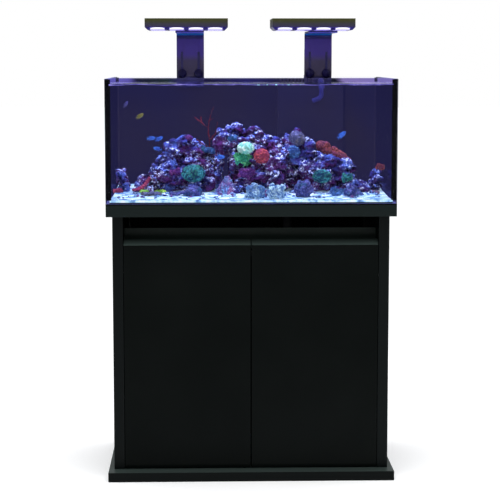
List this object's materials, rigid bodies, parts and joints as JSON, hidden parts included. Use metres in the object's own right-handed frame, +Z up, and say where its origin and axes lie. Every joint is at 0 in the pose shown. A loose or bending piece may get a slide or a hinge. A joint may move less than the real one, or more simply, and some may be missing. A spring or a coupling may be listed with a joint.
{
  "type": "aquarium on stand",
  "caption": "Reef aquarium with sand, rockwork and a rear overflow, on a black cabinet with hinged doors and a sump, with clip-on lights over the open top.",
  "frame": {"origin": "on the floor, under the middle of the overall footprint", "axes": "+Z up, the glass front and the doors face -Y, +X is to the right seen from the front"},
  "size_m": [0.9, 0.558, 1.447],
  "materials": {
    "lacquer": "black gloss lacquer on board",
    "board": "black laminate on board, satin",
    "foam": "closed-cell foam, matt",
    "rubber": "moulded black, matt",
    "steel": "nickel-plated steel",
    "glass": "clear float glass, polished edges",
    "silicone": "black silicone",
    "background": "deep indigo-black film",
    "black_acrylic": "black acrylic",
    "pipe": "grey pipe",
    "felt": "needle felt",
    "sand": "white reef sand",
    "rock": "live rock with purple coralline crust",
    "light_housing": "dark anodised",
    "light_lens": "lit diffuser",
    "light_bracket": "dark anodised",
    "knob": "moulded knob",
    "water": "clear salt water",
    "coral": "living coral",
    "fish": "scales"
  },
  "bodies": {
    "tank_and_cabinet": {"plinth_board": "board", "side_panel_left": "board", "side_panel_right": "board", "back_panel": "board", "top_board": "board", "fascia_rail": "lacquer", "foam_mat": "foam", "cable_gland": "rubber", "door_catch": "rubber", "return_pump": "rubber", "return_hose": "rubber", "hinge_plate_left_lower": "steel", "hinge_plate_left_upper": "steel", "hinge_plate_right_lower": "steel", "hinge_plate_right_upper": "steel", "glass_front": "glass", "glass_back": "glass", "glass_left": "glass", "glass_right": "glass", "glass_base": "glass", "sump_tank": "glass", "sump_baffle_left": "glass", "sump_baffle_right": "glass", "silicone_front_left": "silicone", "silicone_front_right": "silicone", "silicone_rear_left": "silicone", "silicone_rear_right": "silicone", "background_film": "background", "weir_box": "black_acrylic", "sock_shelf": "black_acrylic", "drain_standpipe": "pipe", "drain_valve": "pipe", "drain_pipe": "pipe", "return_riser": "pipe", "filter_sock": "felt", "sand_bed": "sand", "rock_left": "rock", "rock_middle": "rock", "rock_right": "rock", "light_clamp_left": "light_bracket", "light_clamp_right": "light_bracket"},
    "door_left": {"door_left": "lacquer", "hinge_cup_left_lower": "steel", "hinge_cup_left_upper": "steel"},
    "door_right": {"door_right": "lacquer", "hinge_cup_right_lower": "steel", "hinge_cup_right_upper": "steel"},
    "weir_comb": {"weir_comb": "black_acrylic"},
    "return_nozzle": {"return_nozzle": "pipe"},
    "drain_valve_handle": {"drain_valve_handle": "rubber"},
    "light_left": {"light_arm_left": "light_bracket", "light_housing_left": "light_housing", "light_lens_left": "light_lens"},
    "thumbscrew_left_outer": {"thumbscrew_left_outer": "knob"},
    "thumbscrew_left_inner": {"thumbscrew_left_inner": "knob"},
    "light_right": {"light_arm_right": "light_bracket", "light_housing_right": "light_housing", "light_lens_right": "light_lens"},
    "thumbscrew_right_outer": {"thumbscrew_right_outer": "knob"},
    "thumbscrew_right_inner": {"thumbscrew_right_inner": "knob"}
  },
  "joints": [
    {"name": "door_left_hinge", "type": "hinge", "parent": "tank_and_cabinet", "child": "door_left", "pos_m": [-0.3992, -0.229, 0.394], "axis": [0, 0, -1], "range_deg": [0, 105]},
    {"name": "door_right_hinge", "type": "hinge", "parent": "tank_and_cabinet", "child": "door_right", "pos_m": [0.3992, -0.229, 0.394], "axis": [0, 0, 1], "range_deg": [0, 105]},
    {"name": "weir_comb_lift", "type": "slide", "parent": "tank_and_cabinet", "child": "weir_comb", "axis": [0, 0, 1], "range_m": [0, 0.05]},
    {"name": "return_nozzle_swivel", "type": "hinge", "parent": "tank_and_cabinet", "child": "return_nozzle", "pos_m": [0.246, 0.16, 1.2], "axis": [0, 0, 1], "range_deg": [0, 90]},
    {"name": "drain_valve_turn", "type": "hinge", "parent": "tank_and_cabinet", "child": "drain_valve_handle", "pos_m": [0.135, 0.1907, 0.6], "axis": [0, 1, 0], "range_deg": [0, 90]},
    {"name": "light_left_height", "type": "slide", "parent": "tank_and_cabinet", "child": "light_left", "axis": [0, 0, 1], "range_m": [-0.03, 0]},
    {"name": "light_right_height", "type": "slide", "parent": "tank_and_cabinet", "child": "light_right", "axis": [0, 0, 1], "range_m": [-0.03, 0]},
    {"name": "thumbscrew_left_outer_undo", "type": "slide", "parent": "tank_and_cabinet", "child": "thumbscrew_left_outer", "axis": [0, -1, 0], "range_m": [0, 0.006]},
    {"name": "thumbscrew_left_inner_undo", "type": "slide", "parent": "tank_and_cabinet", "child": "thumbscrew_left_inner", "axis": [0, -1, 0], "range_m": [0, 0.006]},
    {"name": "thumbscrew_right_outer_undo", "type": "slide", "parent": "tank_and_cabinet", "child": "thumbscrew_right_outer", "axis": [0, -1, 0], "range_m": [0, 0.006]},
    {"name": "thumbscrew_right_inner_undo", "type": "slide", "parent": "tank_and_cabinet", "child": "thumbscrew_right_inner", "axis": [0, -1, 0], "range_m": [0, 0.006]}
  ]
}
